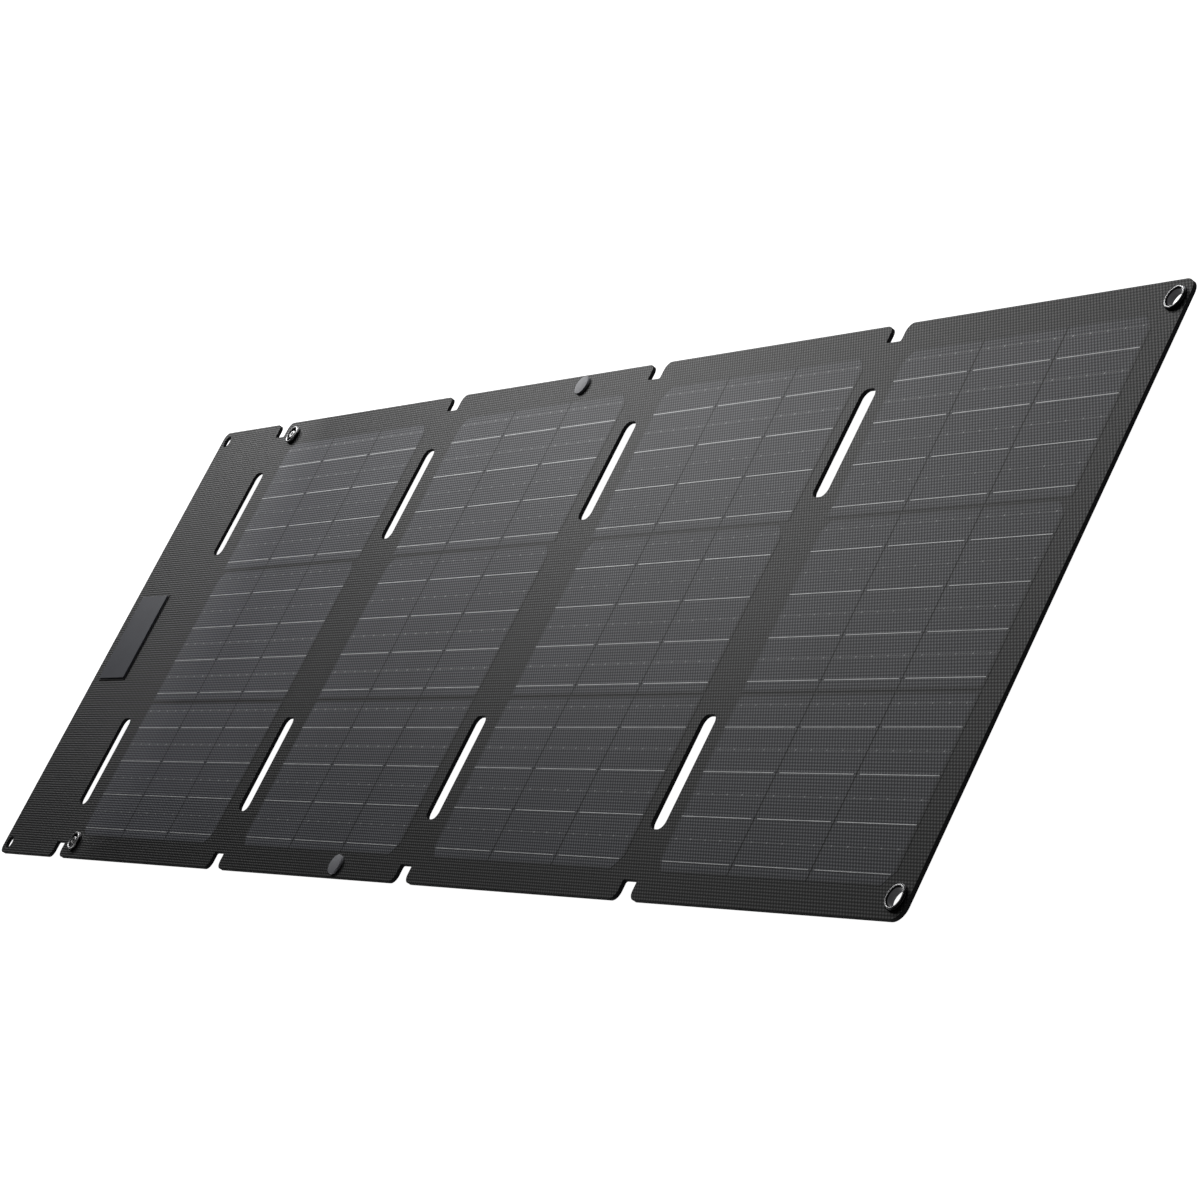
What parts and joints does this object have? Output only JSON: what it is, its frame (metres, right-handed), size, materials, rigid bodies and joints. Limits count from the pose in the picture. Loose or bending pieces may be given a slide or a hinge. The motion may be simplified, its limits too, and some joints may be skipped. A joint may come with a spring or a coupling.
{
  "type": "folding solar panel",
  "caption": "Thin folding solar panel: a closing flap and hinged leaves with cell arrays in embossed film, slotted fold lines, corner eyelets and a small controller on the flap.",
  "frame": {"origin": "under the middle of the unfolded panel, on the surface it lies on", "axes": "+X along the row of leaves, from the flap to the last leaf; +Y along the fold lines; +Z out of the cell side"},
  "size_m": [0.9708, 0.3056, 0.0117],
  "materials": {
    "back_fabric": "black woven polyester back skin",
    "front_film": "charcoal embossed fluoropolymer film with a fine diagonal texture",
    "stiffener": "black glass-fibre stiffener board",
    "silicon": "blue-grey monocrystalline silicon behind film",
    "tinned_copper": "tinned copper ribbon",
    "blackened_metal": "dark nickel plated brass",
    "cap_plastic": "smooth grey moulded cap with black sides",
    "plate_plastic": "smooth satin dark grey moulded plate",
    "black_plastic": "black moulded plastic",
    "circuit_board": "green solder-masked circuit board",
    "screw_steel": "black zinc screw",
    "socket_steel": "stainless socket shell"
  },
  "bodies": {
    "leaf_1": {"leaf_1_back_skin": "back_fabric", "leaf_1_board": "stiffener", "leaf_1_cells": "silicon", "leaf_1_front_film": "front_film", "leaf_1_ribbons": "tinned_copper", "leaf_1_stud_posts": "blackened_metal", "leaf_1_stud_rims": "blackened_metal", "leaf_1_stud_washers": "blackened_metal"},
    "flap": {"controller_bezel": "black_plastic", "controller_board": "circuit_board", "controller_case": "black_plastic", "controller_chips": "black_plastic", "controller_inductor": "black_plastic", "controller_plate": "plate_plastic", "controller_screws": "screw_steel", "controller_spacers": "black_plastic", "controller_usb_socket": "socket_steel", "flap_back_skin": "back_fabric", "flap_board": "stiffener", "flap_front_film": "front_film"},
    "fold_a": {"fold_a_back": "back_fabric", "fold_a_front": "front_film", "fold_a_leads": "tinned_copper"},
    "fold_b": {"fold_b_back": "back_fabric", "fold_b_front": "front_film", "fold_b_leads": "tinned_copper"},
    "leaf_2": {"leaf_2_back_skin": "back_fabric", "leaf_2_board": "stiffener", "leaf_2_cells": "silicon", "leaf_2_closure_caps": "cap_plastic", "leaf_2_closure_studs": "blackened_metal", "leaf_2_front_film": "front_film", "leaf_2_ribbons": "tinned_copper"},
    "fold_c": {"fold_c_back": "back_fabric", "fold_c_front": "front_film", "fold_c_leads": "tinned_copper"},
    "leaf_3": {"leaf_3_back_skin": "back_fabric", "leaf_3_board": "stiffener", "leaf_3_cells": "silicon", "leaf_3_front_film": "front_film", "leaf_3_ribbons": "tinned_copper"},
    "fold_d": {"fold_d_back": "back_fabric", "fold_d_front": "front_film", "fold_d_leads": "tinned_copper"},
    "leaf_4": {"leaf_4_back_skin": "back_fabric", "leaf_4_board": "stiffener", "leaf_4_cells": "silicon", "leaf_4_eyelet_washers": "blackened_metal", "leaf_4_eyelets": "blackened_metal", "leaf_4_front_film": "front_film", "leaf_4_ribbons": "tinned_copper"}
  },
  "joints": [
    {"name": "fold_a", "type": "hinge", "parent": "leaf_1", "child": "fold_a", "pos_m": [-0.38695, 0, 0.0084], "axis": [0, 1, 0], "range_deg": [0, 90], "deforming": ["fold_a_front", "fold_a_back", "fold_a_leads"]},
    {"name": "fold_a_flap", "type": "hinge", "parent": "fold_a", "child": "flap", "pos_m": [-0.40695, 0, 0.0084], "axis": [0, 1, 0], "range_deg": [0, 90]},
    {"name": "fold_b", "type": "hinge", "parent": "leaf_1", "child": "fold_b", "pos_m": [-0.17735, 0, 0.0084], "axis": [0, -1, 0], "range_deg": [0, 90], "deforming": ["fold_b_front", "fold_b_back", "fold_b_leads"]},
    {"name": "fold_b_leaf", "type": "hinge", "parent": "fold_b", "child": "leaf_2", "pos_m": [-0.16235, 0, 0.0084], "axis": [0, -1, 0], "range_deg": [0, 90]},
    {"name": "fold_c", "type": "hinge", "parent": "leaf_2", "child": "fold_c", "pos_m": [0.04725, 0, 0.0084], "axis": [0, -1, 0], "range_deg": [0, 90], "deforming": ["fold_c_front", "fold_c_back", "fold_c_leads"]},
    {"name": "fold_c_leaf", "type": "hinge", "parent": "fold_c", "child": "leaf_3", "pos_m": [0.05725, 0, 0.0084], "axis": [0, -1, 0], "range_deg": [0, 90]},
    {"name": "fold_d", "type": "hinge", "parent": "leaf_3", "child": "fold_d", "pos_m": [0.26685, 0, 0.0084], "axis": [0, -1, 0], "range_deg": [0, 90], "deforming": ["fold_d_front", "fold_d_back", "fold_d_leads"]},
    {"name": "fold_d_leaf", "type": "hinge", "parent": "fold_d", "child": "leaf_4", "pos_m": [0.27185, 0, 0.0084], "axis": [0, -1, 0], "range_deg": [0, 90]}
  ],
  "couplings": [
    {"joint": "fold_a_flap", "follows": "fold_a", "ratio": 1},
    {"joint": "fold_b_leaf", "follows": "fold_b", "ratio": 1},
    {"joint": "fold_c_leaf", "follows": "fold_c", "ratio": 1},
    {"joint": "fold_d_leaf", "follows": "fold_d", "ratio": 1}
  ]
}
